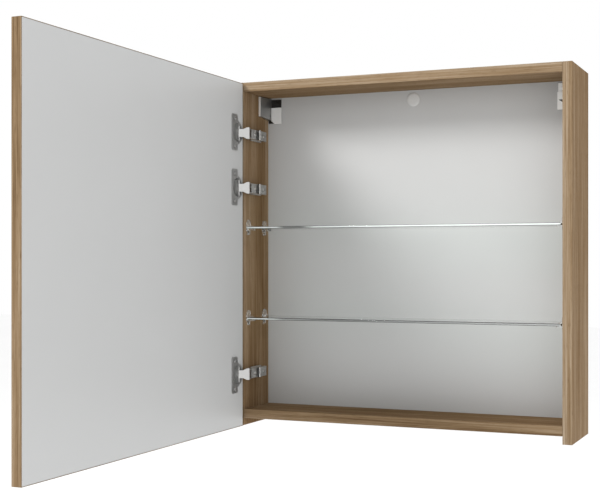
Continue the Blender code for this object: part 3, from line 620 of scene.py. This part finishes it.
def shelves():
    """Each pane with its polished front edge, whose highlights and shade are painted, on four clear
    clips.
    """
    for level, rounding in SHELF_ROUNDING.items():
        node = level + "_glass_shelf"
        pane = slab(node + "_pane", *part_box(node), rounding, segments=4)
        finish(pane, SHELF_GLASS, CARCASS, "clear_glass", node)
        # The front edge takes painted highlights and painted shade
        paint(pane, SHELF_EDGES[level], lambda face: face.normal.y < -FACING)
        for side in SIDES:
            for place in ("front", "rear"):
                clip = f"shelf_support_{level}_{side}_{place}"
                piece = soften(cad_copy(clip, clip + "_clip"), CLIP_ROUNDING)
                finish(piece, CLIP_PLASTIC, CARCASS, "clear_plastic", clip)


# ---------------------------------------------------------------- small parts

def plug():
    """The cable hole's cap: a low dome whose skirt goes through the back panel."""
    low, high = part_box("cable_hole_plug")
    centre = (low + high) / 2
    radius = (high.x - low.x) / 2
    place = Vector((centre.x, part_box("back_panel")[0].y, centre.z))
    rise = place.y - low.y
    dome = [(0, rise), (radius * 0.55, rise * 0.98), (radius * 0.86, rise * 0.86),
            (radius * 0.97, rise * 0.55), (radius, 0.0004), (radius * 0.98, 0.0001),
            (radius * 0.8, 0.0001), (radius * 0.8, -0.006), (radius * 0.7, -0.006),
            (radius * 0.7, -0.001), (0, -0.001)]
    cap = turned("cable_hole_cap", dome, place, -Y, steps=72)
    finish(cap, PLUG_PLASTIC, CARCASS, "back_laminate", "cable_hole_plug")


def cross_tool(name, place, axis, across, depth):
    """A cross-recess cutter at a screw head's top, with its arms across the axis."""
    side = axis.orthogonal().normalized()
    other = axis.cross(side)
    width = across * 0.24
    arms = []
    for first, second, suffix in ((side, other, "_a"), (other, side, "_b")):
        outline = [(-across, -width), (across, -width), (across, width), (-across, width)]
        arms.append(prism(name + suffix, outline, place, first, second, depth))
    return arms


def screw(node, axis, body, radius, material):
    """A pan-head screw in place of a CAD screw, standing the same height, with a cross recess."""
    low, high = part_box(node)
    centre = (low + high) / 2
    reach = (high - low) / 2
    along = abs(axis.dot(reach))
    top = centre + axis * along
    profile = [(0, 0.0), (radius * 0.55, -0.00005), (radius * 0.85, -0.00035),
               (radius * 0.98, -0.0008), (radius, -0.0011), (radius * 0.96, -SCREW_HEAD),
               (radius * 0.45, -SCREW_HEAD), (radius * 0.45, -2 * along + 0.001),
               (0, -2 * along)]
    head = turned(node + "_head", profile, top, axis, steps=40)
    cut(head, *cross_tool(node + "_recess", top, axis, radius * 0.62, RECESS_CUTTER))
    finish(head, material, body, "zinc_screw", node)


def cover_shade_patch():
    """A black sheet on the right hanger's cover, by the side panel: painted shade."""
    low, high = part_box("hanger_cover_right")
    outline = [(-SHADE_PATCH_ACROSS, 0.0), (0.0, 0.0), (0.0, -SHADE_PATCH_DOWN)]
    place = (high.x - SHADE_PATCH_FROM_SIDE, low.y + SHADE_PATCH_SINK, high.z - SHADE_PATCH_FROM_TOP)
    # A thin black sheet stands for the shade there: painted shade
    shade_sheet = prism("hanger_cover_shade_patch_right", outline, place, X, Z, SHADE_PATCH_THICK)
    finish(shade_sheet, BLACK_PAINTED_SHADE, CARCASS, "light_plastic")


def hangers():
    """Steel flange and web, hook, cover plate and screw; the flange's front edge carries a painted
    highlight, and web, screw and cover take painted light and shade.
    """
    for side in SIDES:
        for part, material, slot in (
                ("body", HANGER_STEEL, "zinc_steel"), ("hook", STEEL, "zinc_steel"),
                ("cover", COVER_PAINTED_LIGHT_AND_SHADE[side], "light_plastic")):
            node = f"hanger_{part}_{side}"
            piece = soften(cad_copy(node, node + "_shell"), HANGER_ROUNDING)
            finish(piece, material, CARCASS, slot, node)
            if part == "body":
                low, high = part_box(node)
                edge_y = low.y + CUT_EDGE_DEPTH
                web_y = high.y - WEB_DEPTH
                # The cut edge takes a painted highlight; the web takes painted shade on the left and
                # painted light on the right
                paint(piece, HANGER_EDGE_PAINTED_HIGHLIGHT, lambda face: face.center.y < edge_y)
                paint(piece, WEB_PAINTED_LIGHT_AND_SHADE[side],
                      lambda face: face.normal.y < -WEB_FACING and face.center.y > web_y)
        screw("hanger_screw_" + side, -Y, CARCASS, HANGER_SCREW_RADIUS, WEB_PAINTED_LIGHT_AND_SHADE[side])
    cover_shade_patch()


# ---------------------------------------------------------------- hinges

def lever_and_slot(level):
    """The arm's release lever, and in front of it a black sheet over the slot: painted shade."""
    low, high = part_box(f"hinge_arm_{level}")
    for name, stretch, rise, rounding, material in (
            ("release_lever", LEVER_STRETCH, LEVER_RISE, LEVER_ROUNDING, NICKEL),
            # The slot's black sheet is painted shade
            ("arm_slot", SLOT_STRETCH, SLOT_RISE, 0.0, BLACK_PAINTED_SHADE)):
        piece = slab(f"hinge_{name}_{level}",
                     (high.x - ARM_SINK, high.y - stretch[0], low.z + ARM_MARGIN),
                     (high.x + rise, high.y - stretch[1], high.z - ARM_MARGIN), rounding)
        finish(piece, material, CARCASS, "nickel_plate")


def hinges():
    """Plate, arm, links, cup and screws of each hinge; the cup's inside is painted a little lighter,
    painted light against its shade.
    """
    for level in LEVELS:
        for part, (width, body, material) in HINGE_PARTS.items():
            node = f"hinge_{part}_{level}"
            piece = soften(cad_copy(node, node + "_metal"), width)
            finish(piece, material, body, "nickel_plate", node)
            # The cup's inside takes painted light
            if part == "cup":
                inside_x = max(vert.co.x for vert in piece.data.vertices) - CUP_FLANGE
                paint(piece, CUP_INSIDE_PAINTED_LIGHT, lambda face: face.center.x < inside_x)
        for kind in ("fixing", "side"):
            screw(f"hinge_{kind}_screw_{level}", X, CARCASS, HINGE_SCREW_RADIUS, ARM_NICKEL)
        lever_and_slot(level)
        for place in ("upper", "lower"):
            screw(f"cup_screw_{level}_{place}", X, DOOR, HINGE_SCREW_RADIUS, CUP_NICKEL)


# ---------------------------------------------------------------- stage, light and camera

def stage():
    """A pale floor well below the cabinet."""
    floor_z = CAD_BOX[0][2] - FLOOR_DROP
    shape = bmesh.new()
    bmesh.ops.create_grid(shape, x_segments=8, y_segments=8, size=FLOOR_REACH,
                          matrix=Matrix.Translation((0, 0, floor_z)))
    floor = new_object("studio_floor", shape)
    made = Recipe("studio_floor_pale")
    tint = made.ramp(made.speckle(0.8), [(0.3, (0.95, 0.95, 0.95)), (0.7, (0.965, 0.965, 0.965))])
    made.surface(Base_Color=tint, Roughness=0.85)
    floor.data.materials.append(made.material)


def soft_box(name, place, size, power):
    """A white area light at a place, turned towards the cabinet."""
    light = bpy.data.lights.new(name, "AREA")
    light.shape = "RECTANGLE"
    light.size, light.size_y = size
    light.energy = power
    lamp = bpy.data.objects.new(name, light)
    bpy.context.scene.collection.objects.link(lamp)
    lamp.location = place
    lamp.rotation_euler = (LIGHT_AIM - Vector(place)).to_track_quat("-Z", "Y").to_euler()


def lights():
    """A white surrounding, the key light and a weak fill."""
    world = bpy.data.worlds.new("studio_white")
    world.use_nodes = True
    background = world.node_tree.nodes["Background"].inputs
    background["Color"].default_value = (1, 1, 1, 1)
    background["Strength"].default_value = 1.0
    bpy.context.scene.world = world
    key_place = LIGHT_AIM - KEY_TRAVEL.normalized() * KEY_DISTANCE
    soft_box("key_box", key_place, KEY_SIZE, KEY_POWER)
    soft_box("fill_box", FILL_PLACE, FILL_SIZE, FILL_POWER)


def camera():
    """The photograph's point of view, as recovered from the cabinet's edges."""
    data = bpy.data.cameras.new("camera")
    data.lens = CAMERA_LENS
    data.sensor_width = 36
    data.shift_x, data.shift_y = CAMERA_SHIFT
    data.clip_start = 0.01
    data.clip_end = 60
    eye = bpy.data.objects.new("camera", data)
    bpy.context.scene.collection.objects.link(eye)
    eye.location = CAMERA_PLACE
    eye.rotation_euler = (math.pi / 2, 0, math.radians(CAMERA_TURN))
    bpy.context.scene.camera = eye


carcass()
door()
shelves()
plug()
hangers()
hinges()
stage()
lights()
camera()
bpy.context.scene.view_settings.view_transform = "Standard"
